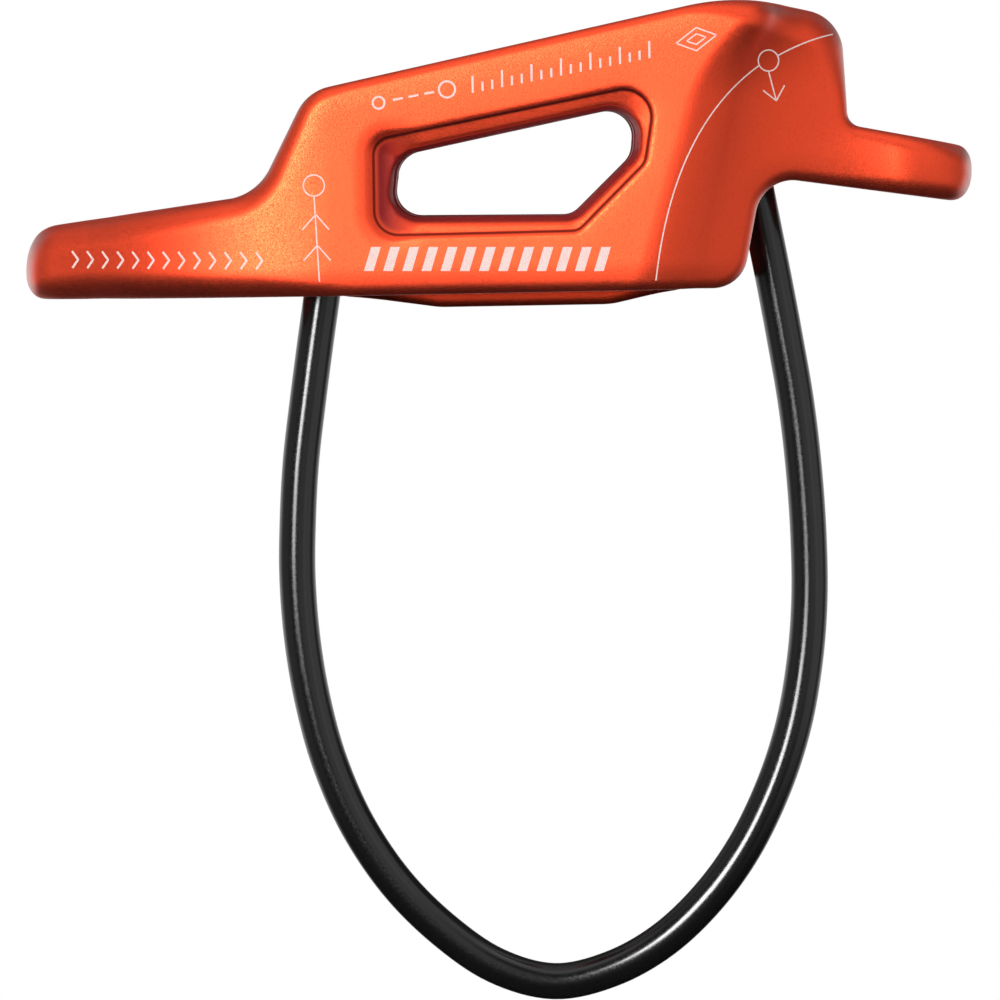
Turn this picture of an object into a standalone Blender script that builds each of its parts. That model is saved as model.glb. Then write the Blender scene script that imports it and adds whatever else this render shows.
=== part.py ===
"""Guide-mode belay device: a one-piece forged body with a keeper cable.

X runs along the device, towards the brake side. Y runs across it, and Z is up.
The origin is on the flat underside of the centre web, where the locking carabiner bears.
Lengths are in millimetres until a mesh is made.
"""

import math

import bmesh
import bpy
from mathutils import Matrix, Vector

MM = 0.001

# Forged body
HALF_WIDTH = 19.0
SIDE_WALL = 4.0
SLOT_WIDTH = 12.0
EDGE_ROUND = 1.2
UNDERSIDE = 1.65
CLEARANCE = 0.3
BEYOND = 8.0

# Side outline: (x, z, corner radius), up the left end, along the roof and back underneath
SIDE_OUTLINE = (
    (-51.7, UNDERSIDE, 2.6),
    (-51.7, 8.92, 3.0),
    (-27.06, 12.33, 5.8),
    (-21.58, 22.98, 4.9),
    (23.33, 32.31, 25.1),
    (34.59, 29.88, 4.5),
    (35.05, 18.6, 1.6),
    (48.2, 15.91, 2.4),
    (48.12, 10.09, 2.0),
    (25.88, 13.35, 4.0),
    (23.55, UNDERSIDE, 3.1),
)

# Half of the plan outline: (x, y, corner radius) at the guide end, the taper and the release end
GUIDE_END = (-51.7, 5.44, 9.1)
TAPER = (-32.33, HALF_WIDTH, 42.3)
RELEASE_END_X = 48.2
RELEASE_END_ROUND = 9.1

# A hollow takes each side wall in towards the release arm. It starts at HOLLOW_X on the wall at
# height HOLLOW_Z, and its far end (x, y) is flush with the arm and stands wider at the roof.
HOLLOW_X = 16.9
HOLLOW_Z = 7.4
HOLLOW_LEAN = 0.278
HOLLOW_END = (40.0, 9.2)
HOLLOW_ROOF_END = (37.5, 12.5)

# Rope slots, whose brake ends lean out with height
SLOT_CENTRE = HALF_WIDTH - SIDE_WALL - SLOT_WIDTH / 2
SLOT_LEFT = -17.8
SLOT_RIGHT = 21.6
SLOT_RIGHT_Z = 13.0
SLOT_LEAN = 0.12
GROOVE_RADIUS = 2.6
GROOVE_CENTRE = 7.2
GROOVE_DEPTH = 5.4
GROOVE_FOOT_Z = 16.0
GROOVE_RIM_Z = 31.0

# Window through both side walls and the web: (x, z, corner radius)
WINDOW_THROAT = (
    (-13.05, 9.25, 2.2),
    (-12.85, 16.1, 1.6),
    (12.75, 21.2, 2.8),
    (12.6, 16.0, 2.0),
    (6.2, 9.25, 1.5),
)
WINDOW_MOUTH = (
    (-14.85, 7.9, 2.2),
    (-14.7, 17.8, 1.8),
    (14.3, 23.2, 2.6),
    (14.0, 16.0, 2.0),
    (5.8, 7.9, 1.5),
)

# Web rib that stands below the side walls
RIB_OUTLINE = (
    (-16.6, UNDERSIDE + 0.01, 0.0),
    (-18.5, 4.0, 0.0),
    (18.5, 4.0, 0.0),
    (16.3, UNDERSIDE + 0.01, 0.0),
    (9.2, 0.0, 4.0),
    (-9.2, 0.0, 4.0),
)

# Eyes
GUIDE_EYE_RADIUS = 8.2
GUIDE_EYE_X = (-38.0, -35.0)
RELEASE_EYE_RADIUS = 4.2
RELEASE_EYE_X = 39.75

# Keeper cable: where it leaves the body, its lean (x per unit of z) and its ends
LEFT_EXIT = (-20.8, UNDERSIDE)
LEFT_LEAN = 0.151
RIGHT_EXIT = (25.3, 12.9)
RIGHT_LEAN = -0.183
SHEATH_RADIUS = 1.95
SHEATH_WALL = 0.6
CORE_RADIUS = 1.05
SHEATH_DEPTH = 6.0
CORE_DEPTH = 7.2
FERRULE_WALL = 0.55
FERRULE_INSET = 0.4
FERRULE_LENGTH = 7.6
FERRULE_STEP = 6.2
BORE_DEPTH = FERRULE_INSET + FERRULE_LENGTH + CLEARANCE
RELIEF_RADII = (3.8, 6.5)
RELIEF_LENGTH = 16.0

# The loop's own points (x, z) between the two exits
LOOP_ROUTE = (
    (-21.6, -3.4), (-22.55, -9.8), (-23.4, -16.2), (-23.85, -22.5), (-24.0, -28.6),
    (-23.6, -35.2), (-22.6, -41.8), (-20.9, -48.4), (-18.1, -55.1), (-14.1, -61.3),
    (-9.2, -66.4), (-3.6, -70.4), (2.6, -72.2), (8.7, -71.0), (14.3, -68.0),
    (19.2, -63.5), (23.2, -58.1), (26.4, -51.7), (28.6, -45.2), (29.9, -38.4),
    (30.5, -31.8), (30.5, -24.8), (30.1, -17.6), (29.4, -10.8), (28.4, -4.4),
    (27.25, 2.3),
)

ARC_STEP = math.radians(18)
ARC_CHORD = 4.0
HOLLOW_STEPS = 7
PLAN_LEVELS = (
    (-BEYOND, HOLLOW_END),
    (18.6, HOLLOW_END),
    (29.0, HOLLOW_ROOF_END),
    (40.0, HOLLOW_ROOF_END),
)
SLOT_SEGMENTS = 8
WINDOW_ARC_STEPS = 4


def clear_scene():
    for obj in list(bpy.data.objects):
        bpy.data.objects.remove(obj, do_unlink=True)


def make_material(name, colour, metallic, roughness):
    material = bpy.data.materials.new(name)
    material.use_nodes = True
    shader = material.node_tree.nodes["Principled BSDF"]
    shader.inputs["Base Color"].default_value = (*colour, 1.0)
    shader.inputs["Metallic"].default_value = metallic
    shader.inputs["Roughness"].default_value = roughness
    return material


def round_outline(corners, arc_steps=None):
    """Turn (u, v, radius) corners into points, each corner an arc tangent to its two sides."""
    points = []
    count = len(corners)
    for i, (u, v, radius) in enumerate(corners):
        corner = Vector((u, v))
        if radius == 0:
            points.append(corner)
            continue
        before = (Vector(corners[i - 1][:2]) - corner).normalized()
        after = (Vector(corners[(i + 1) % count][:2]) - corner).normalized()
        half = before.angle(after) / 2
        centre = corner + (before + after).normalized() * radius / math.sin(half)
        first = corner + before * radius / math.tan(half) - centre
        turn = math.pi - 2 * half
        turn = math.copysign(turn, before.cross(after))
        steps = arc_steps or max(1, round(abs(turn) / ARC_STEP), round(abs(turn) * radius / ARC_CHORD))
        for k in range(steps + 1):
            points.append(centre + Matrix.Rotation(-turn * k / steps, 2) @ first)
    return points


def obround(left, right, centre_y, radius):
    """A slot's plan outline, with full-round ends."""
    points = []
    for x, start in ((right - radius, -90), (left + radius, 90)):
        for k in range(SLOT_SEGMENTS + 1):
            angle = math.radians(start + 180 * k / SLOT_SEGMENTS)
            points.append(Vector((x + radius * math.cos(angle), centre_y + radius * math.sin(angle))))
    return points


def loft(name, rings):
    """Close a stack of rings of 3-D points, in order, into one solid."""
    bm = bmesh.new()
    layers = [[bm.verts.new(Vector(p) * MM) for p in ring] for ring in rings]
    for lower, upper in zip(layers, layers[1:]):
        for k in range(len(lower)):
            j = (k + 1) % len(lower)
            bm.faces.new((lower[k], lower[j], upper[j], upper[k]))
    bm.faces.new(reversed(layers[0]))
    bm.faces.new(layers[-1])
    bmesh.ops.recalc_face_normals(bm, faces=bm.faces)
    mesh = bpy.data.meshes.new(name)
    bm.to_mesh(mesh)
    bm.free()
    obj = bpy.data.objects.new(name, mesh)
    bpy.context.collection.objects.link(obj)
    return obj


def across(outline, y):
    """Set an (x, z) outline at one y."""
    return [(p[0], y, p[1]) for p in outline]


def level(outline, z):
    """Set an (x, y) outline at one z."""
    return [(p[0], p[1], z) for p in outline]


def turned(name, exit_point, lean, profile, segments=20):
    """Turn a (distance up the axis, radius) profile round a cable's axis, closed at both ends."""
    origin = Vector((exit_point[0], 0, exit_point[1]))
    up = Vector((lean, 0, 1)).normalized()
    side = Vector((0, 1, 0))
    ahead = side.cross(up)
    rings = []
    for distance, radius in profile:
        ring = []
        for k in range(segments):
            angle = 2 * math.pi * k / segments
            ring.append(origin + up * distance + (side * math.cos(angle) + ahead * math.sin(angle)) * radius)
        rings.append(ring)
    return loft(name, rings)


def add_boolean(obj, operation, cutter):
    cutter.hide_render = True
    cutter.display_type = "WIRE"
    modifier = obj.modifiers.new(cutter.name, "BOOLEAN")
    modifier.operation = operation
    modifier.solver = "EXACT"
    modifier.object = cutter


def hollow_arc(z, end):
    """One side's hollow at a height, as corners from the side wall in to its far end."""
    start = HOLLOW_X + HOLLOW_LEAN * (z - HOLLOW_Z)
    length = end[0] - start
    rise = HALF_WIDTH - end[1]
    radius = (length * length + rise * rise) / (2 * rise)
    opening = math.asin(length / radius)
    corners = []
    for k in range(HOLLOW_STEPS + 1):
        angle = opening * (1 - k / HOLLOW_STEPS)
        corners.append((end[0] - radius * math.sin(angle), end[1] + radius * (1 - math.cos(angle)), 0.0))
    return corners


def plan_solid():
    """Everything inside the plan outline, which changes with height at the hollows."""
    rings = []
    for z, end in PLAN_LEVELS:
        far_end = (RELEASE_END_X, end[1], RELEASE_END_ROUND)
        half = [GUIDE_END, TAPER, *hollow_arc(z, end), far_end]
        mirrored = [(x, -y, radius) for x, y, radius in reversed(half)]
        rings.append(level(round_outline(half + mirrored), z))
    return loft("plan_limit", rings)


def slot_right(z):
    return SLOT_RIGHT + SLOT_LEAN * (z - SLOT_RIGHT_Z)


def slot_cutter(side):
    rings = []
    for z in (-BEYOND, 40.0):
        rings.append(level(obround(SLOT_LEFT, slot_right(z), side * SLOT_CENTRE, SLOT_WIDTH / 2), z))
    return loft(f"slot_{'far' if side > 0 else 'near'}", rings)


def groove_cutter(side):
    """The friction groove, which runs past its slot's brake end and deepens to the rim."""
    top = 40.0
    foot = slot_right(GROOVE_FOOT_Z) - CLEARANCE
    rim = slot_right(GROOVE_RIM_Z) + GROOVE_DEPTH
    slope = (rim - foot) / (GROOVE_RIM_Z - GROOVE_FOOT_Z)
    rings = []
    for z in (GROOVE_FOOT_Z, top):
        end = foot + slope * (z - GROOVE_FOOT_Z)
        rings.append(level(obround(foot - 9.0, end, side * GROOVE_CENTRE, GROOVE_RADIUS), z))
    return loft(f"groove_{'far' if side > 0 else 'near'}", rings)


def window_cutter():
    mouth = round_outline(WINDOW_MOUTH, WINDOW_ARC_STEPS)
    throat = round_outline(WINDOW_THROAT, WINDOW_ARC_STEPS)
    inside = HALF_WIDTH - SIDE_WALL
    # the draft goes on past the wall's face, so that the cut comes out at its own size there
    spread = [m + (m - t) * CLEARANCE / SIDE_WALL for m, t in zip(mouth, throat)]
    outside = HALF_WIDTH + CLEARANCE
    rings = [
        across(spread, -outside),
        across(throat, -inside),
        across(throat, inside),
        across(spread, outside),
    ]
    return loft("window", rings)


def eye_cutters():
    left, right = GUIDE_EYE_X
    guide = obround(left - GUIDE_EYE_RADIUS, right + GUIDE_EYE_RADIUS, 0.0, GUIDE_EYE_RADIUS)
    release = obround(
        RELEASE_EYE_X - RELEASE_EYE_RADIUS, RELEASE_EYE_X + RELEASE_EYE_RADIUS, 0.0, RELEASE_EYE_RADIUS
    )
    # a round hole's two arcs meet, so their shared ends are dropped
    release = release[:SLOT_SEGMENTS] + release[SLOT_SEGMENTS + 1:-1]
    return (
        loft("guide_eye", [level(guide, -BEYOND), level(guide, 40.0)]),
        loft("release_eye", [level(release, 0.0), level(release, 26.0)]),
    )


def rib_solid():
    half = HALF_WIDTH - SIDE_WALL - SLOT_WIDTH
    outline = round_outline(RIB_OUTLINE)
    return loft("rib", [across(outline, -half), across(outline, half)])


def cable_cutters():
    bore = SHEATH_RADIUS + CLEARANCE + FERRULE_WALL + CLEARANCE
    left = turned("left_bore", LEFT_EXIT, LEFT_LEAN, ((-BEYOND, bore), (BORE_DEPTH, bore)))
    right = turned("right_bore", RIGHT_EXIT, RIGHT_LEAN, ((-CLEARANCE, bore), (BORE_DEPTH, bore)))
    narrow, wide = RELIEF_RADII
    relief = turned("relief", RIGHT_EXIT, RIGHT_LEAN, ((-RELIEF_LENGTH, wide), (0.0, narrow)))
    return left, right, relief


def forged_body(material):
    outline = round_outline(SIDE_OUTLINE)
    body = loft("forged_body", [across(outline, -HALF_WIDTH), across(outline, HALF_WIDTH)])
    edges = body.modifiers.new("edge_round", "BEVEL")
    edges.width = EDGE_ROUND * MM
    edges.segments = 2
    edges.limit_method = "ANGLE"
    edges.angle_limit = math.radians(60)
    add_boolean(body, "INTERSECT", plan_solid())
    add_boolean(body, "UNION", rib_solid())
    for side in (-1, 1):
        add_boolean(body, "DIFFERENCE", slot_cutter(side))
        add_boolean(body, "DIFFERENCE", groove_cutter(side))
    cutters = (window_cutter(), *eye_cutters(), *cable_cutters())
    for cutter in cutters:
        add_boolean(body, "DIFFERENCE", cutter)
    finish(body, material)


def ferrule(name, exit_point, lean, material):
    """A swaged stop sleeve: wide bore for the sheath, narrow bore for the wire, closed top."""
    sheath_bore = SHEATH_RADIUS + CLEARANCE
    outside = sheath_bore + FERRULE_WALL
    wire_bore = CORE_RADIUS + CLEARANCE
    foot = FERRULE_INSET
    step = foot + FERRULE_STEP
    top = foot + FERRULE_LENGTH
    sleeve = turned(name, exit_point, lean, ((foot, outside), (top, outside)))
    hollow = turned(
        f"{name}_bore",
        exit_point,
        lean,
        ((foot - 1, sheath_bore), (step, sheath_bore), (step, wire_bore), (CORE_DEPTH + CLEARANCE, wire_bore)),
    )
    add_boolean(sleeve, "DIFFERENCE", hollow)
    finish(sleeve, material)


def along_axis(exit_point, lean, distance):
    """The point (x, z) at a distance up a cable end's axis."""
    up = Vector((lean, 1)).normalized()
    return (exit_point[0] + up.x * distance, exit_point[1] + up.y * distance)


def smooth_route(points, per_span=2):
    """Catmull-Rom points through a hand-laid route."""
    route = [Vector(p) for p in points]
    padded = [2 * route[0] - route[1], *route, 2 * route[-1] - route[-2]]
    smooth = []
    for a, b, c, d in zip(padded, padded[1:], padded[2:], padded[3:]):
        for k in range(per_span):
            t = k / per_span
            smooth.append(
                0.5 * (2 * b + (c - a) * t + (2 * a - 5 * b + 4 * c - d) * t**2 + (3 * b - a - 3 * c + d) * t**3)
            )
    smooth.append(route[-1])
    return smooth


def cable_route(depth):
    """The keeper's centreline, with both ends a depth up inside their ferrules."""
    ends = (along_axis(LEFT_EXIT, LEFT_LEAN, depth), along_axis(RIGHT_EXIT, RIGHT_LEAN, depth))
    return smooth_route((ends[0], LEFT_EXIT, *LOOP_ROUTE, RIGHT_EXIT, ends[1]))


def tube(name, route, radius, capped, material):
    curve = bpy.data.curves.new(name, "CURVE")
    curve.dimensions = "3D"
    curve.bevel_depth = radius * MM
    curve.bevel_resolution = 2
    curve.use_fill_caps = capped
    spline = curve.splines.new("POLY")
    spline.points.add(len(route) - 1)
    for point, (x, z) in zip(spline.points, route):
        point.co = (x * MM, 0, z * MM, 1)
    curve.materials.append(material)
    obj = bpy.data.objects.new(name, curve)
    bpy.context.collection.objects.link(obj)
    return obj


def cable_sheath(material):
    """The plastic sheath: a hollow tube, its wall grown inwards from the outer skin."""
    sheath = tube("cable_sheath", cable_route(SHEATH_DEPTH), SHEATH_RADIUS, False, material)
    wall = sheath.modifiers.new("wall", "SOLIDIFY")
    wall.thickness = SHEATH_WALL * MM
    wall.offset = -1


def finish(obj, material):
    obj.data.materials.append(material)
    obj.data.shade_smooth()
    obj.data.set_sharp_from_angle(angle=math.radians(30))


def main():
    clear_scene()
    orange = make_material("anodised_orange", (0.80, 0.11, 0.04), 0.85, 0.32)
    black = make_material("black_sheath", (0.012, 0.012, 0.013), 0.0, 0.22)
    steel = make_material("wire_steel", (0.55, 0.55, 0.56), 1.0, 0.3)
    forged_body(orange)
    ferrule("left_ferrule", LEFT_EXIT, LEFT_LEAN, steel)
    ferrule("right_ferrule", RIGHT_EXIT, RIGHT_LEAN, steel)
    cable_sheath(black)
    tube("cable_core", cable_route(CORE_DEPTH), CORE_RADIUS, True, steel)


main()
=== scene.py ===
import math

import bpy
import numpy as np
from mathutils import Matrix, Vector
from mathutils.bvhtree import BVHTree


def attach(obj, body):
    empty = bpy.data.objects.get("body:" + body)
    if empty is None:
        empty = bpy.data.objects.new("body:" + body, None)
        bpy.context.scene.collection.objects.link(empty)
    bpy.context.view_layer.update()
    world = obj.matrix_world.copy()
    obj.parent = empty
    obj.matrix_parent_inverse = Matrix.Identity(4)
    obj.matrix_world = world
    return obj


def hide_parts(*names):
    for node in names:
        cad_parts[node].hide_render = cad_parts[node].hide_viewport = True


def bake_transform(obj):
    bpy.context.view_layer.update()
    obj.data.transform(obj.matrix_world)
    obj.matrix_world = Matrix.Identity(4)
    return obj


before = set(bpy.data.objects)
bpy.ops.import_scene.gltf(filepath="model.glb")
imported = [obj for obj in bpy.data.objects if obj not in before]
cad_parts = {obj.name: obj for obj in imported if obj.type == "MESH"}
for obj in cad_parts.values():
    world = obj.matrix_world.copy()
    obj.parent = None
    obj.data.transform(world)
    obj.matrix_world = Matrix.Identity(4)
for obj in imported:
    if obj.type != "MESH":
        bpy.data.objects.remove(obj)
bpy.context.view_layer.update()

MM = 0.001

# Forged body, in millimetres in the row frame. Slots, walls, eyes and cable have the CAD
# model's sizes; the outline's ends, the window and the rib follow the photo more closely
HALF_WIDTH = 19.0
SIDE_WALL = 4.0
SLOT_WIDTH = 12.0
UNDERSIDE = 1.65
SIDE_OUTLINE = (
    (-53.05, 1.57, 2.5),
    (-53.05, 8.87, 5.2),
    (-27.06, 12.33, 5.8),
    (-21.58, 22.98, 4.9),
    (23.33, 32.31, 25.1),
    (34.59, 29.88, 4.5),
    (35.05, 18.60, 1.6),
    (49.1, 15.85, 2.3),
    (49.1, 9.92, 3.0),
    (25.88, 13.35, 4.0),
    (23.55, 1.70, 3.7),
)
TAPER_OUTLINE = (
    (-53.05, 4.78, 9.1),
    (-32.33, HALF_WIDTH, 42.3),
    (80.0, HALF_WIDTH, 0.0),
    (80.0, -HALF_WIDTH, 0.0),
    (-32.33, -HALF_WIDTH, 42.3),
    (-53.05, -4.78, 9.1),
)
WINDOW_CORE = (
    (-13.06, 9.70, 2.6),
    (-12.35, 16.12, 2.7),
    (12.88, 21.17, 2.7),
    (12.42, 15.72, 2.6),
    (6.00, 9.50, 2.3),
)
WINDOW_LIP = (
    (-14.79, 7.89, 2.5),
    (-14.76, 17.79, 1.9),
    (14.83, 23.32, 2.9),
    (13.46, 15.00, 2.0),
    (6.40, 8.04, 1.6),
)
RIB_OUTLINE = (
    (-19.6, UNDERSIDE, 3.0),
    (-22.0, 5.0, 0.0),
    (20.0, 5.0, 0.0),
    (17.4, UNDERSIDE, 3.0),
    (9.9, 0.0, 9.0),
    (-8.3, 0.0, 8.0),
)
SCOOP_START = (16.9, 7.4)
SCOOP_END = 40.0
SCOOP_LEAN = 0.278
SCOOP_CURL = 0.045
SCOOP_CURL_Z = 21.5
SLOT_CENTRE = HALF_WIDTH - SIDE_WALL - SLOT_WIDTH / 2
SLOT_LEFT = -17.8
SLOT_RIGHT = 21.6
SLOT_RIGHT_Z = 13.0
SLOT_LEAN = 0.12
GROOVE_RADIUS = 2.6
GROOVE_CENTRE = 7.2
GROOVE_FOOT = (21.7, 16.0)
GROOVE_SLOPE = 0.5
GROOVE_RUN = 9.0
GUIDE_EYE_X = (-38.0, -35.0)
GUIDE_EYE_RADIUS = 8.2
RELEASE_EYE_X = 39.75
RELEASE_EYE_RADIUS = 4.2
RING_RADIUS = 9.2
RING_START = -20.0
RING_END = 49.1

# Keeper cable
LEFT_EXIT = (-20.8, UNDERSIDE)
LEFT_LEAN = 0.151
RIGHT_EXIT = (25.3, 12.9)
RIGHT_LEAN = -0.183
SHEATH_RADIUS = 1.95
SHEATH_DEPTH = 6.0
CORE_DEPTH = 7.2
BORE_RADIUS = 3.1
BORE_DEPTH = 8.3
RELIEF_RADII = (3.8, 6.5)
RELIEF_LENGTH = 16.0

# Ferrules: turned sleeves, as (height up the axis, outer radius), and their stepped bore
FERRULE_SKIN = (
    (0.40, 2.55), (0.65, 2.80), (1.70, 2.80), (1.85, 2.66),
    (2.65, 2.66), (2.80, 2.80), (3.70, 2.80), (3.85, 2.66),
    (4.65, 2.66), (4.80, 2.80), (5.70, 2.80), (5.85, 2.66),
    (6.65, 2.66), (6.80, 2.80), (7.70, 2.80), (8.00, 2.50),
)
FERRULE_BORE = ((8.00, 1.40), (7.90, 1.30), (6.25, 1.30), (6.25, 2.25), (0.60, 2.25), (0.40, 2.40))

# Wire rope: six outer strands laid round a core
STRANDS = 6
STRAND_RADIUS = 0.35
STRAND_CIRCLE = 0.70
ROPE_LAY = 7.0

LOOP_ROUTE = (
    (-21.6, -3.4), (-22.55, -9.8), (-23.4, -16.2), (-23.85, -22.5), (-24.0, -28.6),
    (-23.6, -35.2), (-22.6, -41.8), (-20.9, -48.4), (-18.1, -55.1), (-14.1, -61.3),
    (-9.2, -66.4), (-3.6, -70.4), (2.6, -72.2), (8.7, -71.0), (14.3, -68.0),
    (19.2, -63.5), (23.2, -58.1), (26.4, -51.7), (28.6, -45.2), (29.9, -38.4),
    (30.5, -31.8), (30.5, -24.8), (30.1, -17.6), (29.4, -10.8), (28.4, -4.4),
    (27.25, 2.3),
)

# Edge rounding of the forging
EDGE_X = (-51.0, -45.0, -27.0, -17.0, 22.0, 34.0, 46.0)
EDGE_RADIUS = (2.5, 3.2, 2.3, 1.1, 1.0, 1.3, 2.0)
ROOF_EDGE = (2.6, 20.0, 29.0, 17.0, 29.0)
RIM_EDGE = 1.4
GUIDE_RIM = 1.2
RELEASE_RIM = 1.5
RIB_EDGE = 0.9
RIB_FILLET = 0.8
GROOVE_EDGE = 0.9
RELIEF_EDGE = 0.5
BORE_EDGES = (0.2, 0.4)
FACET_BLEND = 2.6
CROWN = (0.26, 3.2)
LOW_CROWN = 0.14
WINDOW_CROWN = (0.05, 2.4)
GUIDE_CROWN = 0.26
WALL_FOOT = 15.0
WEB_EDGE = 0.6
HOLE_EDGE = 0.25

# Bevel between the window's lip and its hole: (tilt in degrees, width, lip rounding, lip depth)
BEVEL_BOTTOM = (15.0, 1.10, 0.5, 0.32)
BEVEL_RAMP = (22.0, 1.05, 0.5, 0.32)
BEVEL_BRAKE = (23.0, 1.45, 0.5, 0.32)
BEVEL_TOP = (16.0, 1.25, 0.5, 0.32)
BEVEL_GUIDE = (50.0, 1.70, 0.9, 0.45)
HOLE_SPREAD = 0.5
HOLE_DRAFT = 2.4

# Meshing of the body: grid corners, cell size, and the reach that finds its edges
GRID_LOW = (-53.0, -20.2, -1.2)
GRID_HIGH = (49.4, 20.2, 33.2)
CELL = 0.26
ARC_CHORD = 0.25
BODY_TRIANGLES = 180_000
BEND_REACH = 0.9
NO_LIP = 9.0

# Finish of the alloy; the grazing, crease and recess colours are painted reflection and painted
# shade
ALLOY_COLOUR = (0.93, 0.083, 0.027)
ALLOY_WARM = (0.94, 0.090, 0.029)
ALLOY_DEEP = (0.78, 0.050, 0.021)
ALLOY_WORN = (0.95, 0.16, 0.08)
ALLOY_GRAZING_REFLECTION = (0.80, 0.55, 0.53)
ALLOY_CREASE_SHADE = (0.10, 0.004, 0.003)
ALLOY_RECESS_SHADE = (0.22, 0.007, 0.008)
GRAIN_HEIGHT = 0.000013
COAT_WEIGHT = 0.25

# Marks on the near wall, all in (x, z) points. Bows are start, pull and end; bands are a lower
# and an upper edge, along which places run from 0 to 1
MARK_STEP = 0.35
MARK_PROUD = 0.012
MARK_START = 30
MARK_REACH = 25
MARK_STROKE = 0.22
SIGN_STROKE = 0.14
SIGN_BOWS = (
    ((14.4, 2.7), (16.4, 18.6), (25.6, 24.9)),
    ((27.6, 25.9), (30.6, 27.5), (33.6, 28.1)),
)
SIGN_RINGS = (((26.6, 25.4), 1.1), ((-21.0, 13.2), 1.1))
SIGN_LINES = (
    ((26.6, 24.3), (27.4, 21.2)),
    ((26.0, 22.3), (27.4, 21.2), (28.3, 22.8)),
    ((-21.0, 12.1), (-20.6, 3.2)),
    ((-22.3, 8.6), (-20.85, 10.2), (-19.5, 8.6)),
    ((-22.2, 5.4), (-20.75, 7.0), (-19.4, 5.4)),
    ((16.9, 27.3), (19.0, 28.9), (21.1, 28.1), (19.0, 26.5), (16.9, 27.3)),
    ((18.0, 27.5), (19.0, 28.25), (20.0, 27.9), (19.0, 27.15), (18.0, 27.5)),
)
BAR_BAND = (((-16.05, 4.24), (9.87, 3.78)), ((-16.05, 6.73), (9.87, 6.28)))
BAR_COUNT = 13
BAR_ROWS = 6
BAR_SPAN = (0.05, 0.55)
BAR_LEAN = 0.4
CHEVRON_BAND = (((-46.98, 4.94), (-25.7, 4.57)), ((-46.98, 6.71), (-25.7, 6.34)))
CHEVRON_COUNT = 13
CHEVRON_SPAN = (0.1, 0.5)
TICK_BAND = (((-15.0, 20.63), (14.7, 25.92)), ((-15.0, 22.4), (14.7, 27.69)))
TICK_COUNT = 19
TICK_START = 0.36
TICK_RUN = 0.62
TICK_SHORT = 0.55
TICK_RINGS = ((0.03, 0.62), (0.27, 0.85))
TICK_DASHES = (0.08, 0.135, 0.19)
DASH_LENGTH = 0.035

# Studio, seen from the object: azimuth from the front (right is positive) and elevation in
# degrees, half-sizes of the full and the fading part, and strength. Top light and ground: the
# elevations between which they fade, and strength. Floor: half-size and height in millimetres
SOFTBOXES = (
    (-20.0, 11.0, 6.0, 12.0, 8.0, 15.0, 32.0),
    (26.0, 12.0, 8.0, 34.0, 12.0, 28.0, 0.60),
    (68.0, 15.0, 16.0, 38.0, 25.0, 60.0, 0.70),
    (-95.0, 10.0, 30.0, 55.0, 25.0, 60.0, 0.26),
    (180.0, -8.0, 50.0, 78.0, 10.0, 24.0, 0.95),
)
TOP_LIGHT = (42.0, 62.0, 1.0)
AMBIENT = 0.06
GROUND = (-38.0, -12.0, 0.05)
REAR_TOP_LIGHT = 0.15
FLOOR = (3000.0, -1100.0)

# Camera, in metres and degrees, fitted to the photo's view
CAMERA_EYE = (0.0005, -0.850, 0.01655)
CAMERA_TARGET = (-0.00228, 0, -0.02068)
CAMERA_ROLL = 1.0
CAMERA_LENS = 287.6
CAMERA_SENSOR = 36


# ---------------------------------------------------------------- distance fields

def round_outline(corners):
    """Turn (u, v, radius) corners into points, each corner an arc tangent to its two sides."""
    points = []
    count = len(corners)
    for i, (u, v, radius) in enumerate(corners):
        corner = Vector((u, v))
        if radius == 0:
            points.append(corner)
            continue
        before = (Vector(corners[i - 1][:2]) - corner).normalized()
        after = (Vector(corners[(i + 1) % count][:2]) - corner).normalized()
        half = before.angle(after) / 2
        centre = corner + (before + after).normalized() * radius / math.sin(half)
        first = corner + before * radius / math.tan(half) - centre
        turn = math.copysign(math.pi - 2 * half, before.cross(after))
        steps = max(2, math.ceil(abs(turn) * radius / ARC_CHORD))
        for k in range(steps + 1):
            points.append(centre + Matrix.Rotation(-turn * k / steps, 2) @ first)
    return np.array(points)


def outline_distance(corners, u, v):
    """Signed distance from points (u, v) to a rounded outline, negative inside."""
    points = round_outline(corners)
    u, v = np.asarray(u, np.float32), np.asarray(v, np.float32)
    nearest = np.full(u.shape, np.inf, np.float32)
    inside = np.zeros(u.shape, bool)
    for (au, av), (bu, bv) in zip(points.tolist(), np.roll(points, -1, axis=0).tolist()):
        du, dv = bu - au, bv - av
        pu, pv = u - au, v - av
        t = np.clip((pu * du + pv * dv) / max(du * du + dv * dv, 1e-12), 0, 1)
        nearest = np.minimum(nearest, (pu - t * du) ** 2 + (pv - t * dv) ** 2)
        if av != bv:
            inside ^= ((av > v) != (bv > v)) & (u < au + du * (v - av) / dv)
    distance = np.sqrt(nearest)
    return np.where(inside, -distance, distance)


def capsule(x, y, left, right, centre_y, radius):
    """Distance to a slot's plan outline, full-round at both ends."""
    along = x - np.clip(x, left + radius, right - radius)
    return np.hypot(along, y - centre_y) - radius


def meet(a, b, radius):
    """The overlap of two solids, its edge rounded."""
    u = np.maximum(radius + a, 0)
    v = np.maximum(radius + b, 0)
    return np.minimum(-radius, np.maximum(a, b)) + np.hypot(u, v)


def cut(a, b, radius):
    return meet(a, -b, radius)


def join(a, b, radius):
    """Two solids as one, with a fillet where they meet."""
    return -meet(-a, -b, radius)


def along_axis(exit_point, lean, x, y, z):
    """Height up a cable end's axis, and distance from it."""
    up_x, up_z = Vector((lean, 1)).normalized()
    dx, dz = x - exit_point[0], z - exit_point[1]
    height = dx * up_x + dz * up_z
    off = dx * up_z - dz * up_x
    return height, np.hypot(off, y)


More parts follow.
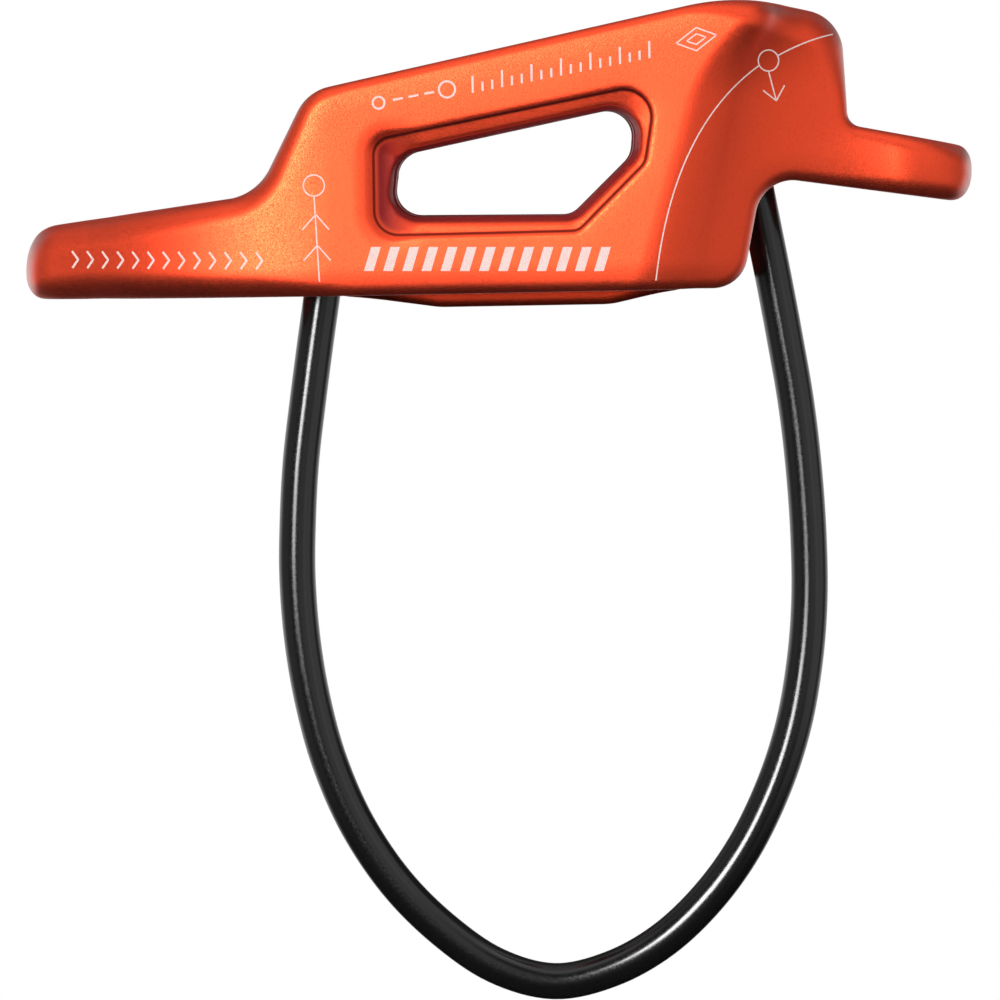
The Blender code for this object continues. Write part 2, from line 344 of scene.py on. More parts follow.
def bore(exit_point, lean, x, y, z):
    height, off = along_axis(exit_point, lean, x, y, z)
    return np.maximum(off - BORE_RADIUS, height - BORE_DEPTH)


def relief(x, y, z):
    """The room that the cable bends in below its brake-side exit."""
    height, off = along_axis(RIGHT_EXIT, RIGHT_LEAN, x, y, z)
    narrow, wide = RELIEF_RADII
    radius = narrow - (wide - narrow) * height / RELIEF_LENGTH
    return np.maximum(off - radius, height)


def scoop(x, y, z):
    """The hollow that takes each side wall down to the release eye's arm, open outwards."""
    start = SCOOP_START[0] + SCOOP_LEAN * (z - SCOOP_START[1])
    start = start + SCOOP_CURL * np.maximum(z - SCOOP_CURL_Z, 0) ** 2
    length = SCOOP_END - start
    rise = HALF_WIDTH - RING_RADIUS
    radius = (length * length + rise * rise) / (2 * rise)
    arc = radius - np.hypot(np.minimum(x, SCOOP_END) - SCOOP_END, y - RING_RADIUS - radius)
    return np.where(y > RING_RADIUS + radius, radius, arc)


def smooth_max(a, b, width):
    """The overlap of two solids whose faces meet at a shallow angle."""
    near = np.maximum(width - abs(a - b), 0)
    return np.maximum(a, b) + near * near / (4 * width)


def step(value, low, high):
    t = np.clip((value - low) / (high - low), 0, 1)
    return t * t * (3 - 2 * t)


def guide_side(x):
    """How far a point belongs to the window's guide side, from 0 to 1."""
    return step(-x, 9.0, 14.5)


def bevel_at(x, z):
    """The window bevel's sizes beside a point, changing smoothly from side to side."""
    ramp, brake = step(x, 4.0, 8.0), step(x, 9.5, 13.0) * step(z, 14.0, 17.0)
    roof, guide = step(z - 0.187 * x, 15.4, 19.0), guide_side(x)
    sizes = []
    sides = (BEVEL_BOTTOM, BEVEL_RAMP, BEVEL_BRAKE, BEVEL_TOP, BEVEL_GUIDE)
    for bottom, slant, end, top, left in zip(*sides):
        size = bottom + (slant - bottom) * ramp
        size = size + (end - size) * brake
        size = size + (top - size) * roof
        sizes.append(size + (left - size) * guide)
    return sizes


def crown(distance, fall, width):
    """How far a wall falls away as it comes to an edge."""
    return fall * np.clip(1 + distance / width, 0, 1) ** 2


def body_field(x, y, z):
    """Signed distance in millimetres to the forging's surface, for broadcast coordinates."""
    y = abs(y)
    side = outline_distance(SIDE_OUTLINE, *np.broadcast_arrays(x, z))
    taper = outline_distance(TAPER_OUTLINE, *np.broadcast_arrays(x, y))
    core = outline_distance(WINDOW_CORE, *np.broadcast_arrays(x, z))
    lip = outline_distance(WINDOW_LIP, *np.broadcast_arrays(x, z))

    ring = capsule(x, y, RING_START, RING_END, 0.0, RING_RADIUS)
    hollow = scoop(x, y, z)
    plan = np.maximum(smooth_max(taper, hollow, FACET_BLEND), np.where(x > SCOOP_END, ring, -99.0))
    plan = plan + crown(side, CROWN[0] + LOW_CROWN * step(-z, -7.0, -3.0), CROWN[1])
    plan = plan + crown(-lip, WINDOW_CROWN[0] + GUIDE_CROWN * guide_side(x), WINDOW_CROWN[1])
    softer, low, high, left, right = ROOF_EDGE
    edge = np.interp(x, EDGE_X, EDGE_RADIUS) + softer * step(z, low, high) * step(x, left, right)
    body = meet(side, plan, edge)

    web_half = HALF_WIDTH - SIDE_WALL - SLOT_WIDTH
    rib = meet(outline_distance(RIB_OUTLINE, *np.broadcast_arrays(x, z)), y - web_half, RIB_EDGE)
    slot_end = SLOT_RIGHT + SLOT_LEAN * (z - SLOT_RIGHT_Z)
    slot = capsule(x, y, SLOT_LEFT, slot_end, SLOT_CENTRE, SLOT_WIDTH / 2)
    body = cut(body, slot, RIM_EDGE)
    body = join(body, rib, RIB_FILLET)
    groove_end = GROOVE_FOOT[0] + GROOVE_SLOPE * (z - GROOVE_FOOT[1])
    groove = capsule(x, y, GROOVE_FOOT[0] - GROOVE_RUN, groove_end, GROOVE_CENTRE, GROOVE_RADIUS)
    body = cut(body, groove, GROOVE_EDGE)
    guide_left = GUIDE_EYE_X[0] - GUIDE_EYE_RADIUS
    guide_right = GUIDE_EYE_X[1] + GUIDE_EYE_RADIUS
    guide = capsule(x, y, guide_left, guide_right, 0.0, GUIDE_EYE_RADIUS)
    body = cut(body, guide, GUIDE_RIM)
    release = np.hypot(x - RELEASE_EYE_X, y) - RELEASE_EYE_RADIUS
    body = cut(body, release, RELEASE_RIM)

    tilt, width, lip_round, lip_depth = bevel_at(x, z)
    slope = np.tan(np.radians(tilt))
    lip_y = HALF_WIDTH - lip_depth
    bevel = np.maximum(lip, (lip_y + lip * slope - y) * np.cos(np.radians(tilt)))
    body = cut(body, bevel, lip_round)
    crease = lip_y - width * slope
    hole = core - HOLE_SPREAD * np.clip(1 - (crease - y) / HOLE_DRAFT, 0, 1)
    body = np.where(y < SLOT_CENTRE, cut(body, core, WEB_EDGE), cut(body, hole, HOLE_EDGE))

    body = cut(body, relief(x, y, z), RELIEF_EDGE)
    body = cut(body, bore(RIGHT_EXIT, RIGHT_LEAN, x, y, z), BORE_EDGES[0])
    return cut(body, bore(LEFT_EXIT, LEFT_LEAN, x, y, z), BORE_EDGES[1])


class Grid:
    """The body's field on a regular grid, for meshing and for normals."""

    def __init__(self, low, high, cell):
        self.low = np.array(low, float)
        self.cell = cell
        axes = [np.arange(a, b + cell, cell, dtype=np.float32) for a, b in zip(low, high)]
        x, y, z = np.meshgrid(*axes, indexing="ij", sparse=True)
        self.field = body_field(x, y, z).astype(np.float32)

    def sample(self, points):
        """Trilinear value of the field at points (n, 3)."""
        f = self.field
        at = (points - self.low) / self.cell
        at = np.clip(at, 0, np.array(f.shape) - 1.001)
        i = at.astype(int)
        t = at - i
        value = 0
        for dx in (0, 1):
            for dy in (0, 1):
                for dz in (0, 1):
                    weight = np.prod(np.where((dx, dy, dz), t, 1 - t), axis=1)
                    value = value + weight * f[i[:, 0] + dx, i[:, 1] + dy, i[:, 2] + dz]
        return value

    def gradient(self, points, reach=0.6):
        """Direction of steepest rise, from samples a reach (in cells) to each side."""
        step = reach * self.cell
        slopes = []
        for axis in np.eye(3) * step:
            slopes.append((self.sample(points + axis) - self.sample(points - axis)) / (2 * step))
        return np.stack(slopes, axis=1)


def surface_net(grid):
    """Quads along the field's zero surface, one vertex for each cell that it crosses."""
    f = grid.field
    shape = np.array(f.shape)
    inside = f < 0
    total = int(np.prod(shape))
    count = np.zeros(total)
    sums = np.zeros((3, total))
    strides = np.array((shape[1] * shape[2], shape[2], 1))
    quads = []
    for axis in range(3):
        first = [slice(None)] * 3
        second = [slice(None)] * 3
        first[axis], second[axis] = slice(0, -1), slice(1, None)
        a, b = f[tuple(first)], f[tuple(second)]
        crossing = np.argwhere(inside[tuple(first)] != inside[tuple(second)])
        va, vb = a[tuple(crossing.T)], b[tuple(crossing.T)]
        where = crossing.astype(float)
        where[:, axis] += va / (va - vb)
        one, two = (axis + 1) % 3, (axis + 2) % 3
        home = crossing @ strides
        around = [home - du * strides[one] - dv * strides[two]
                  for du, dv in ((0, 0), (1, 0), (1, 1), (0, 1))]
        for cells in around:
            count += np.bincount(cells, minlength=total)
            for k in range(3):
                sums[k] += np.bincount(cells, where[:, k], minlength=total)
        ring = np.stack(around, axis=1)
        ring[va > 0] = ring[va > 0][:, ::-1]
        quads.append(ring)
    quads = np.concatenate(quads)
    used = np.flatnonzero(count)
    place = np.full(total, -1)
    place[used] = np.arange(len(used))
    points = (sums[:, used] / count[used]).T * grid.cell + grid.low
    return points, place[quads]


# ---------------------------------------------------------------- mesh helpers

def link(obj):
    bpy.context.scene.collection.objects.link(obj)
    return obj


def mesh_object(name, points, faces):
    """A mesh object from points in millimetres."""
    mesh = bpy.data.meshes.new(name)
    mesh.from_pydata([tuple(p) for p in np.asarray(points) * MM], [], [tuple(f) for f in faces])
    mesh.update()
    return link(bpy.data.objects.new(name, mesh))


def apply_modifiers(obj):
    mesh = bpy.data.meshes.new_from_object(obj.evaluated_get(bpy.context.evaluated_depsgraph_get()))
    obj.modifiers.clear()
    obj.data = mesh


def mesh_points(mesh):
    flat = np.empty(len(mesh.vertices) * 3)
    mesh.vertices.foreach_get("co", flat)
    return flat.reshape(-1, 3)


def build_body():
    """The forging's mesh, with point attributes for its edges, the lip's line and the painted shade
    in its window's recesses.
    """
    grid = Grid(GRID_LOW, GRID_HIGH, CELL)
    points, quads = surface_net(grid)
    body = mesh_object("forged_alloy_body", points, quads)
    thin = body.modifiers.new("thin", "DECIMATE")
    thin.ratio = min(1.0, BODY_TRIANGLES / (2 * len(quads)))
    apply_modifiers(body)
    at = mesh_points(body.data) / MM
    for _ in range(2):
        slope = grid.gradient(at)
        at = at - slope * (grid.sample(at) / np.maximum((slope**2).sum(axis=1), 0.25))[:, None]
    body.data.vertices.foreach_set("co", (at * MM).ravel())
    slope = grid.gradient(at, reach=0.8)
    slope /= np.maximum(np.linalg.norm(slope, axis=1), 1e-9)[:, None]
    body.data.shade_smooth()
    body.data.normals_split_custom_set_from_vertices(slope.tolist())
    # How fast the field rises away from the surface: high on edges, low in hollows
    bend = 0
    for axis in np.eye(3) * BEND_REACH:
        bend = bend + grid.sample(at + axis) + grid.sample(at - axis)
    lip = outline_distance(WINDOW_LIP, at[:, 0], at[:, 2])
    lip = np.where(abs(at[:, 1]) < WALL_FOOT + 0.5, np.copysign(NO_LIP, lip), lip)
    tilt, width, _, lip_depth = bevel_at(at[:, 0], at[:, 2])
    crease = HALF_WIDTH - lip_depth - width * np.tan(np.radians(tilt))
    # Painted shade in the window: the guide side's bevel, the hole walls and the web's face round
    # the core get a darker colour
    hole_wall_shade = step(crease - abs(at[:, 1]), 0.0, 0.5)
    recess_shade = step(-lip, 0.05, 0.6) * np.maximum(guide_side(at[:, 0]), hole_wall_shade)
    core = outline_distance(WINDOW_CORE, at[:, 0], at[:, 2])
    inner_web_shade = step(WALL_FOOT + 0.8 - abs(at[:, 1]), 0.0, 0.4) * step(-core, -3.0, -1.5)
    recess_shade = np.maximum(recess_shade, inner_web_shade)
    for name, values in (("edge", bend), ("lip", lip), ("recess_shade", recess_shade)):
        layer = body.data.attributes.new(name, "FLOAT", "POINT")
        layer.data.foreach_set("value", values.astype(np.float32))
    return body


# ---------------------------------------------------------------- materials

def new_material(name, colour, metallic, roughness):
    material = bpy.data.materials.new(name)
    material.use_nodes = True
    shader = material.node_tree.nodes["Principled BSDF"]
    shader.inputs["Base Color"].default_value = (*colour, 1)
    shader.inputs["Metallic"].default_value = metallic
    shader.inputs["Roughness"].default_value = roughness
    return material, shader


class Nodes:
    """Short calls for one node tree."""

    def __init__(self, tree):
        self.tree = tree

    def add(self, kind, inputs=None, **settings):
        node = self.tree.nodes.new(kind)
        for key, value in settings.items():
            setattr(node, key, value)
        for key, value in (inputs or {}).items():
            if isinstance(value, bpy.types.NodeSocket):
                self.tree.links.new(value, node.inputs[key])
            else:
                node.inputs[key].default_value = value
        return node

    def math(self, operation, *values):
        return self.add("ShaderNodeMath", dict(enumerate(values)), operation=operation).outputs[0]

    def ramp(self, value, low, high, to_low=0.0, to_high=1.0):
        """A smooth step from to_low to to_high as the value goes from low to high."""
        inputs = {"Value": value, "From Min": low, "From Max": high}
        inputs.update({"To Min": to_low, "To Max": to_high})
        return self.add("ShaderNodeMapRange", inputs, interpolation_type="SMOOTHSTEP").outputs[0]

    def noise(self, place, scale, detail=2.0, roughness=0.5):
        inputs = {"Vector": place, "Scale": scale, "Detail": detail, "Roughness": roughness}
        return self.add("ShaderNodeTexNoise", inputs).outputs[0]

    def mix(self, factor, a, b):
        node = self.add("ShaderNodeMix", {0: factor}, data_type="RGBA")
        for socket, value in ((node.inputs[6], a), (node.inputs[7], b)):
            if isinstance(value, bpy.types.NodeSocket):
                self.tree.links.new(value, socket)
            else:
                socket.default_value = (*value, 1)
        return node.outputs[2]

    def bump(self, height, distance, strength=1.0, normal=None):
        inputs = {"Height": height, "Distance": distance, "Strength": strength}
        if normal is not None:
            inputs["Normal"] = normal
        return self.add("ShaderNodeBump", inputs).outputs[0]

    def stretch(self, place, scale, rotation=(0, 0, 0)):
        inputs = {"Vector": place, "Rotation": rotation, "Scale": scale}
        return self.add("ShaderNodeMapping", inputs).outputs[0]

    def link(self, out, socket):
        self.tree.links.new(out, socket)


def anodised_alloy():
    """Bead-blasted and dyed alloy: fine grain, slow tone changes, edges polished by rope, painted
    shade along the lip's crease and in the window's recesses, and a painted pale reflection at
    grazing angles.
    """
    material, shader = new_material("anodised_alloy", ALLOY_COLOUR, 1.0, 0.42)
    shader.inputs["Coat Roughness"].default_value = 0.9
    n = Nodes(material.node_tree)
    place = n.add("ShaderNodeTexCoord").outputs["Object"]
    edge = n.add("ShaderNodeAttribute", attribute_name="edge").outputs["Fac"]
    worn = n.ramp(edge, 0.9, 2.2)
    slow = n.noise(place, 70.0, 2.0)
    blast = n.noise(place, 5200.0, 2.0, 0.6)
    stipple = n.noise(place, 12000.0, 1.0, 0.5)
    speck = n.noise(place, 3600.0, 3.0, 0.7)
    tone = n.mix(n.ramp(slow, 0.35, 0.65), ALLOY_COLOUR, ALLOY_WARM)
    tone = n.mix(n.ramp(speck, 0.50, 0.75, 0.0, 0.6), tone, ALLOY_DEEP)
    tone = n.mix(n.math("MULTIPLY", worn, 0.35), tone, ALLOY_WORN)
    # Painted shade: a thin dark line in the colour along the lip's crease, where the rolled lip
    # meets the bevel
    lip = n.add("ShaderNodeAttribute", attribute_name="lip").outputs["Fac"]
    painted_crease_shade = n.ramp(n.math("ABSOLUTE", lip), 0.07, 0.22, 1.0, 0.0)
    tone = n.mix(n.math("MULTIPLY", painted_crease_shade, 0.85), tone, ALLOY_CREASE_SHADE)
    # Painted shade in the window's recesses: a darker colour, less metal and no coat
    recess_shade = n.add("ShaderNodeAttribute", attribute_name="recess_shade").outputs["Fac"]
    tone = n.mix(recess_shade, tone, ALLOY_RECESS_SHADE)
    n.link(n.ramp(recess_shade, 0.0, 1.0, 1.0, 0.35), shader.inputs["Metallic"])
    # Painted reflection: a pale tint at grazing angles on the outer walls, away from the window and
    # from faces turned up or down
    facing = n.add("ShaderNodeLayerWeight", {"Blend": 0.5}).outputs["Facing"]
    outside = n.ramp(lip, -0.6, -0.1)
    normal = n.add("ShaderNodeNewGeometry").outputs["Normal"]
    level = n.math("ABSOLUTE", n.add("ShaderNodeSeparateXYZ", {0: normal}).outputs[2])
    outside = n.math("MULTIPLY", outside, n.ramp(level, 0.45, 0.9, 1.0, 0.1))
    grazing_reflection = n.math("MULTIPLY", n.ramp(facing, 0.42, 0.95, 0.0, 0.9), outside)
    tone = n.mix(grazing_reflection, tone, ALLOY_GRAZING_REFLECTION)
    n.link(n.ramp(recess_shade, 0.0, 0.8, COAT_WEIGHT, 0.0), shader.inputs["Coat Weight"])
    n.link(tone, shader.inputs["Base Color"])
    rough = n.ramp(stipple, 0.34, 0.68, 0.37, 0.63)
    rough = n.math("ADD", n.ramp(slow, 0.3, 0.7, -0.02, 0.02), rough)
    rough = n.math("SUBTRACT", rough, n.math("MULTIPLY", worn, 0.07))
    n.link(rough, shader.inputs["Roughness"])
    n.link(n.bump(blast, GRAIN_HEIGHT), shader.inputs["Normal"])
    return material


def black_plastic():
    """Extruded black sheath: glossy, with faint draw lines along it and small scuffs."""
    material, shader = new_material("black_sheath", (0.0035, 0.0033, 0.0034), 0.0, 0.16)
    n = Nodes(material.node_tree)
    place = n.add("ShaderNodeUVMap", uv_map="cable").outputs[0]
    drawn = n.noise(n.stretch(place, (0.35, 14.0, 1.0)), 2.2, 3.0, 0.6)
    peel = n.noise(n.stretch(place, (1.6, 10.0, 1.0)), 1.6, 2.0)
    pits = n.noise(n.add("ShaderNodeTexCoord").outputs["Object"], 3600.0, 2.0, 0.6)
    n.link(n.ramp(pits, 0.35, 0.75, 0.15, 0.24), shader.inputs["Roughness"])
    height = n.math("ADD", drawn, n.math("MULTIPLY", peel, 0.8))
    height = n.math("ADD", height, n.math("MULTIPLY", pits, 0.35))
    n.link(n.bump(height, 0.0000035), shader.inputs["Normal"])
    return material


def turned_steel():
    """Turned and swaged sleeve: lathe lines round it and a little grime."""
    material, shader = new_material("ferrule_steel", (0.56, 0.56, 0.57), 1.0, 0.3)
    n = Nodes(material.node_tree)
    place = n.add("ShaderNodeTexCoord").outputs["Object"]
    lathe = n.noise(n.stretch(place, (0.15, 0.15, 8.0)), 900.0, 3.0, 0.6)
    grime = n.noise(place, 400.0, 3.0, 0.6)
    tone = n.mix(n.ramp(grime, 0.45, 0.75), (0.56, 0.56, 0.57), (0.24, 0.22, 0.20))
    n.link(tone, shader.inputs["Base Color"])
    n.link(n.ramp(grime, 0.3, 0.7, 0.24, 0.45), shader.inputs["Roughness"])
    n.link(n.bump(lathe, 0.000006), shader.inputs["Normal"])
    return material


def galvanised_wire():
    """Zinc-coated wire, each strand's own wires drawn by a fine slanted grain."""
    material, shader = new_material("galvanised_wire", (0.50, 0.50, 0.51), 1.0, 0.38)
    n = Nodes(material.node_tree)
    place = n.add("ShaderNodeUVMap", uv_map="cable").outputs[0]
    wires = n.noise(n.stretch(place, (3.0, 40.0, 1.0), (0, 0, 0.5)), 3.0, 2.0, 0.5)
    spangle = n.noise(n.add("ShaderNodeTexCoord").outputs["Object"], 1500.0, 2.0, 0.6)
    tone = n.mix(n.ramp(wires, 0.35, 0.65), (0.26, 0.26, 0.27), (0.58, 0.58, 0.59))
    n.link(tone, shader.inputs["Base Color"])
    n.link(n.ramp(spangle, 0.3, 0.7, 0.3, 0.5), shader.inputs["Roughness"])
    n.link(n.bump(wires, 0.00002), shader.inputs["Normal"])
    return material


def marked_alloy():
    """Where a laser has taken the dye off: pale, matt and slightly broken up."""
    material, shader = new_material("marked_alloy", (0.45, 0.36, 0.35), 0.0, 0.7)
    shader.inputs["Specular IOR Level"].default_value = 0.2
    n = Nodes(material.node_tree)
    place = n.add("ShaderNodeTexCoord").outputs["Object"]
    speck = n.noise(place, 9000.0, 2.0, 0.6)
    patch = n.noise(place, 900.0, 2.0, 0.5)
    tone = n.mix(n.ramp(speck, 0.42, 0.70), (0.46, 0.38, 0.37), (0.43, 0.24, 0.20))
    tone = n.mix(n.ramp(patch, 0.5, 0.8, 0.0, 0.5), tone, (0.45, 0.28, 0.24))
    n.link(tone, shader.inputs["Base Color"])
    n.link(n.ramp(speck, 0.3, 0.7, 0.55, 0.8), shader.inputs["Roughness"])
    n.link(n.bump(speck, 0.000008), shader.inputs["Normal"])
    return material


# ---------------------------------------------------------------- cable

def up_axis(exit_point, lean, distance):
    up = Vector((lean, 1)).normalized()
    return (exit_point[0] + up.x * distance, exit_point[1] + up.y * distance)


def smooth_route(points, per_span):
    """Catmull-Rom points through a given route, as (x, 0, z) rows."""
    route = np.array(points)
    padded = np.vstack([2 * route[0] - route[1], route, 2 * route[-1] - route[-2]])
    a, b, c, d = padded[:-3], padded[1:-2], padded[2:-1], padded[3:]
    t = (np.arange(per_span) / per_span)[None, :, None]
    a, b, c, d = (p[:, None, :] for p in (a, b, c, d))
    square = (2 * a - 5 * b + 4 * c - d) * t**2
    spans = 0.5 * (2 * b + (c - a) * t + square + (3 * b - a - 3 * c + d) * t**3)
    flat = np.vstack([spans.reshape(-1, 2), route[-1]])
    return np.stack([flat[:, 0], np.zeros(len(flat)), flat[:, 1]], axis=1)


def cable_route(depth, per_span=8):
    ends = (up_axis(LEFT_EXIT, LEFT_LEAN, depth), up_axis(RIGHT_EXIT, RIGHT_LEAN, depth))
    return smooth_route((ends[0], LEFT_EXIT, *LOOP_ROUTE, RIGHT_EXIT, ends[1]), per_span)


def sweep(name, route, radius_at, sides):
    """A closed rod along a route in the XZ plane; radius_at(turn, length) shapes its section."""
    ahead = np.gradient(route, axis=0)
    ahead /= np.linalg.norm(ahead, axis=1)[:, None]
    out = np.cross(ahead, (0.0, 1.0, 0.0))
    length = np.concatenate([[0], np.cumsum(np.linalg.norm(np.diff(route, axis=0), axis=1))])
    turn = np.linspace(0, 2 * math.pi, sides, endpoint=False)
    rings = []
    for centre, o, s in zip(route, out, length):
        r = radius_at(turn, s)[:, None]
        spoke = np.cos(turn)[:, None] * o + np.sin(turn)[:, None] * np.array((0, 1.0, 0))
        rings.append(centre + r * spoke)
    points = np.concatenate(rings)
    faces = []
    for i in range(len(rings) - 1):
        for k in range(sides):
            j = (k + 1) % sides
            faces.append((i * sides + k, i * sides + j, (i + 1) * sides + j, (i + 1) * sides + k))
    faces.append(tuple(range(sides))[::-1])
    faces.append(tuple(range((len(rings) - 1) * sides, len(rings) * sides)))
    obj = mesh_object(name, points, faces)
    obj.data.shade_smooth()
    layer = obj.data.uv_layers.new(name="cable")
    for polygon in obj.data.polygons:
        columns = [v % sides for v in polygon.vertices]
        closing = len(columns) == 4 and sides - 1 in columns
        for loop, vertex in zip(polygon.loop_indices, polygon.vertices):
            ring, side = divmod(vertex, sides)
            if side == 0 and closing:
                side = sides
            layer.data[loop].uv = (length[ring] / (2 * math.pi * SHEATH_RADIUS), side / sides)
    return obj, length


def sheath_section(turn, s):
    return np.full(turn.shape, SHEATH_RADIUS)


def rope_section(turn, s):
    """Outline of a wire rope cut square: strands round a core, turned by the lay."""
    pitch = 2 * math.pi / STRANDS
    off = (turn - 2 * math.pi * s / ROPE_LAY + pitch / 2) % pitch - pitch / 2
    side = STRAND_CIRCLE * np.sin(off)
    return STRAND_CIRCLE * np.cos(off) + np.sqrt(np.maximum(STRAND_RADIUS**2 - side**2, 0))


def turned(name, exit_point, lean, profile, sides=72):
    """A closed ring turned about a cable end's axis; profile is (height, radius) corners."""
    up = Vector((lean, 0, 1)).normalized()
    across = Vector((up.z, 0, -up.x))
    foot = Vector((exit_point[0], 0, exit_point[1]))
    points, faces = [], []
    for k in range(sides):
        angle = 2 * math.pi * k / sides
        out = across * math.cos(angle) + Vector((0, 1, 0)) * math.sin(angle)
        points += [foot + up * height + out * radius for height, radius in profile]
    count = len(profile)
    for k in range(sides):
        a, b = k * count, (k + 1) % sides * count
        for i in range(count):
            j = (i + 1) % count
            faces.append((a + i, b + i, b + j, a + j))
    obj = mesh_object(name, points, faces)
    obj.data.shade_smooth()
    obj.data.set_sharp_from_angle(angle=math.radians(20))
    return obj


# ---------------------------------------------------------------- laser marks

def stroke(line, width):
    """A flat ribbon (quads as corner rows) along a line of (x, z) points."""
    points = np.array(line, float)
    spans = np.linalg.norm(np.diff(points, axis=0), axis=1)
    length = np.concatenate([[0], np.cumsum(spans)])
    steps = max(1, math.ceil(length[-1] / MARK_STEP))
    at = np.unique(np.concatenate([np.linspace(0, length[-1], steps + 1), length]))
    path = np.stack([np.interp(at, length, points[:, k]) for k in (0, 1)], axis=1)
    ahead = np.gradient(path, axis=0)
    ahead /= np.maximum(np.linalg.norm(ahead, axis=1), 1e-9)[:, None]
    side = np.stack([-ahead[:, 1], ahead[:, 0]], axis=1) * width / 2
    left, right = path + side, path - side
    return [(left[i], right[i], right[i + 1], left[i + 1]) for i in range(len(path) - 1)]


def ring_line(centre, radius, count=16):
    turn = np.linspace(0, 2 * math.pi, count + 1)
    return [(centre[0] + radius * math.cos(a), centre[1] + radius * math.sin(a)) for a in turn]


def between(a, b, t):
    return (a[0] + (b[0] - a[0]) * t, a[1] + (b[1] - a[1]) * t)


def bow_line(start, pull, end, count=24):
    """A plain bow from start to end, drawn toward pull."""
    return [between(between(start, pull, t), between(pull, end, t), t)
            for t in np.linspace(0, 1, count + 1)]


def band_point(foot, head, t, height):
    """A point in a band given by its lower and upper edges."""
    low, high = between(*foot, t), between(*head, t)
    return between(low, high, height)


def mark_strokes():
    """Every mark: plain bows, rings, arrows and a lozenge, and rows of plain signs."""
    quads = []
    for bow in SIGN_BOWS:
        quads += stroke(bow_line(*bow), SIGN_STROKE)
    for centre, radius in SIGN_RINGS:
        quads += stroke(ring_line(centre, radius, 28), SIGN_STROKE)
    for line in SIGN_LINES:
        quads += stroke(line, SIGN_STROKE)
    for k in range(BAR_COUNT):
        for row in range(BAR_ROWS):
            rise = (row / BAR_ROWS, (row + 1) / BAR_ROWS)
            corners = [(BAR_SPAN[i], rise[j]) for i, j in ((0, 0), (1, 0), (1, 1), (0, 1))]
            quads.append([
                band_point(*BAR_BAND, (k + t + BAR_LEAN * h) / BAR_COUNT, h) for t, h in corners
            ])
    for k in range(CHEVRON_COUNT):
        tail, tip = ((k + t) / CHEVRON_COUNT for t in CHEVRON_SPAN)
        corners = ((tail, 1.0), (tip, 0.5), (tail, 0.0))
        quads += stroke([band_point(*CHEVRON_BAND, *corner) for corner in corners], MARK_STROKE)
    for k in range(TICK_COUNT):
        t = TICK_START + TICK_RUN * k / (TICK_COUNT - 1)
        height = 1.0 if k % 3 == 0 else TICK_SHORT
        quads += stroke([band_point(*TICK_BAND, t, h) for h in (0.0, height)], MARK_STROKE)
    for t, radius in TICK_RINGS:
        quads += stroke(ring_line(band_point(*TICK_BAND, t, 0.5), radius), MARK_STROKE)
    for t in TICK_DASHES:
        ends = (t, t + DASH_LENGTH)
        quads += stroke([band_point(*TICK_BAND, end, 0.5) for end in ends], MARK_STROKE)
    return np.array(quads)


def laser_marks(body):
    """The marks as a thin skin that stands a hair proud of the near wall."""
    tree = BVHTree.FromObject(body, bpy.context.evaluated_depsgraph_get())
    points, faces = [], []
    for quad in mark_strokes():
        corners = []
        for x, z in quad:
            start = Vector((x, -MARK_START, z)) * MM
            hit, normal, _, _ = tree.ray_cast(start, Vector((0, 1, 0)), MARK_REACH * MM)
            if hit is None:
                break
            corners.append(hit / MM + normal * MARK_PROUD)
        if len(corners) == 4:
            faces.append(tuple(range(len(points), len(points) + 4)))
            points += corners
    return mesh_object("wall_marks", points, faces)


# ---------------------------------------------------------------- scene

def add_camera():
    eye = Vector(CAMERA_EYE)
    forward = (Vector(CAMERA_TARGET) - eye).normalized()
    roll = math.radians(CAMERA_ROLL)
    up = Vector((math.sin(roll), 0, math.cos(roll)))
    right = forward.cross(up).normalized()
    up = right.cross(forward)
    camera = bpy.data.cameras.new("camera")
    camera.lens = CAMERA_LENS
    camera.sensor_width = CAMERA_SENSOR
    camera.clip_start = 0.01
    camera.clip_end = 50
    obj = link(bpy.data.objects.new("camera", camera))
    turn = Matrix((right, up, -forward)).transposed().to_4x4()
    obj.matrix_world = Matrix.Translation(eye) @ turn
    bpy.context.scene.camera = obj


def add_stage():
    half, level = FLOOR
    square = ((-half, -half), (half, -half), (half, half), (-half, half))
    corners = [(x, y, level) for x, y in square]
    floor = mesh_object("floor", corners, [(0, 1, 2, 3)])
    material, _ = new_material("pale_floor", (0.9, 0.9, 0.9), 0.0, 0.6)
    floor.data.materials.append(material)
    floor.visible_glossy = False


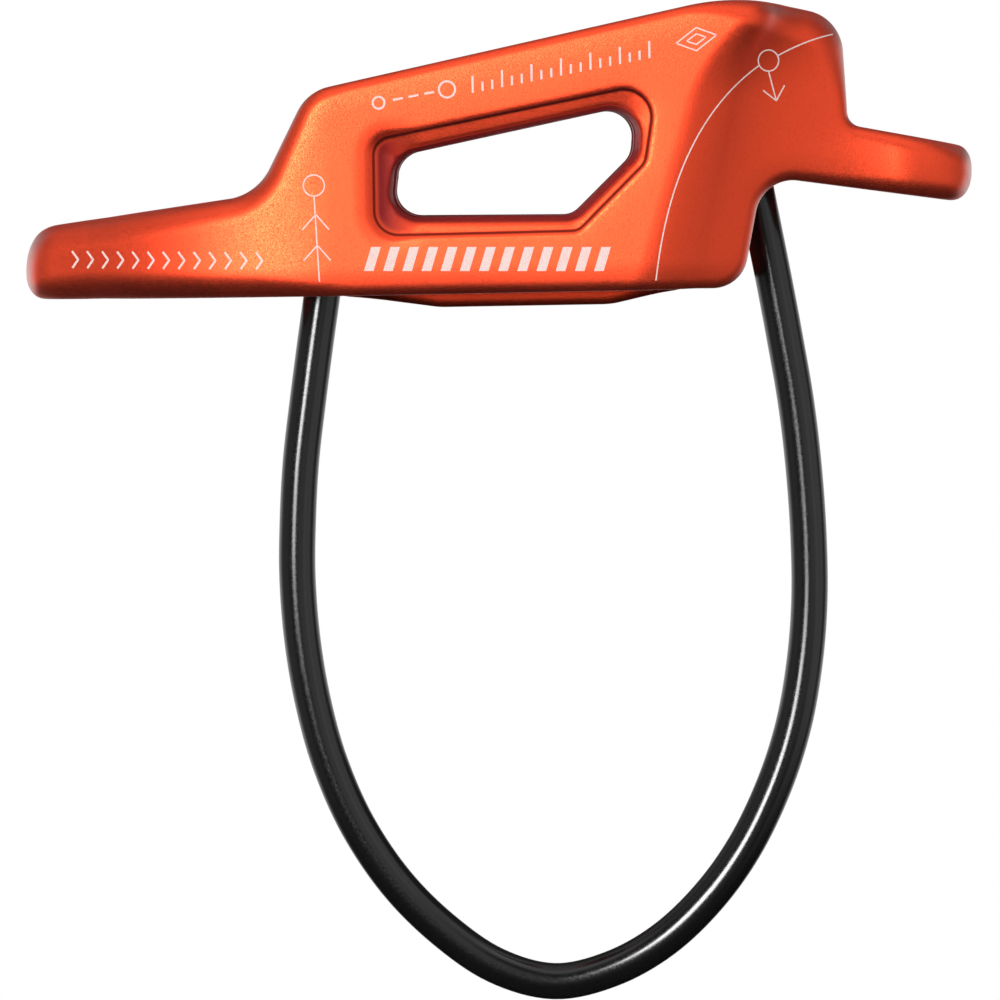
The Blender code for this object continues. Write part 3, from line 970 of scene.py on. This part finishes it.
def add_world():
    """White to the camera; softboxes and a dark ground for what the surfaces reflect."""
    world = bpy.data.worlds.new("studio")
    bpy.context.scene.world = world
    world.use_nodes = True
    n = Nodes(world.node_tree)
    toward = n.add("ShaderNodeTexCoord").outputs["Generated"]
    x, y, z = n.add("ShaderNodeSeparateXYZ", {0: toward}).outputs
    azimuth = n.math("ARCTAN2", x, n.math("MULTIPLY", y, -1.0))
    elevation = n.math("ARCSINE", z)
    overhead = n.ramp(elevation, *(math.radians(a) for a in TOP_LIGHT[:2]), 0.0, TOP_LIGHT[2])
    overhead = n.math("MULTIPLY", overhead, n.ramp(y, 0.0, 0.5, 1.0, REAR_TOP_LIGHT))
    total = n.math("ADD", overhead, AMBIENT)
    for az, el, near_az, far_az, near_el, far_el, strength in SOFTBOXES:
        off = n.math("SUBTRACT", azimuth, math.radians(az))
        off = n.math("ABSOLUTE", n.math("WRAP", off, math.pi, -math.pi))
        across = n.ramp(off, math.radians(near_az), math.radians(far_az), 1.0, 0.0)
        off = n.math("ABSOLUTE", n.math("SUBTRACT", elevation, math.radians(el)))
        upright = n.ramp(off, math.radians(near_el), math.radians(far_el), strength, 0.0)
        total = n.math("ADD", total, n.math("MULTIPLY", across, upright))
    dark = n.ramp(elevation, *(math.radians(a) for a in GROUND[:2]), GROUND[2], 1.0)
    total = n.math("MULTIPLY", total, dark)
    path = n.add("ShaderNodeLightPath").outputs
    plain = n.math("MAXIMUM", path["Is Camera Ray"], path["Is Diffuse Ray"])
    strength = n.math("ADD", n.math("MULTIPLY", total, n.math("SUBTRACT", 1.0, plain)), plain)
    n.link(strength, n.tree.nodes["Background"].inputs["Strength"])
    n.tree.nodes["Background"].inputs["Color"].default_value = (1, 1, 1, 1)


def main():
    add_camera()
    alloy = anodised_alloy()
    body = build_body()
    body.data.materials.append(alloy)
    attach(body, "device")
    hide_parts("forged_body")

    marks = laser_marks(body)
    marks.data.materials.append(marked_alloy())
    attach(marks, "device")

    steel = turned_steel()
    ends = (("left_ferrule", LEFT_EXIT, LEFT_LEAN), ("right_ferrule", RIGHT_EXIT, RIGHT_LEAN))
    for name, exit_point, lean in ends:
        sleeve = turned(f"{name}_sleeve", exit_point, lean, FERRULE_SKIN + FERRULE_BORE)
        sleeve.data.materials.append(steel)
        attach(sleeve, "device")
        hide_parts(name)

    route = cable_route(SHEATH_DEPTH)
    sheath, length = sweep("keeper_sheath", route, sheath_section, 32)
    sheath.data.materials.append(black_plastic())
    wire, _ = sweep("wire_rope", cable_route(CORE_DEPTH, 12), rope_section, 36)
    wire.data.materials.append(galvanised_wire())
    for cable, node in ((sheath, "cable_sheath"), (wire, "cable_core")):
        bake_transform(cable)
        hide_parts(node)
    add_stage()
    add_world()
    bpy.context.scene.view_settings.view_transform = "Standard"


main()
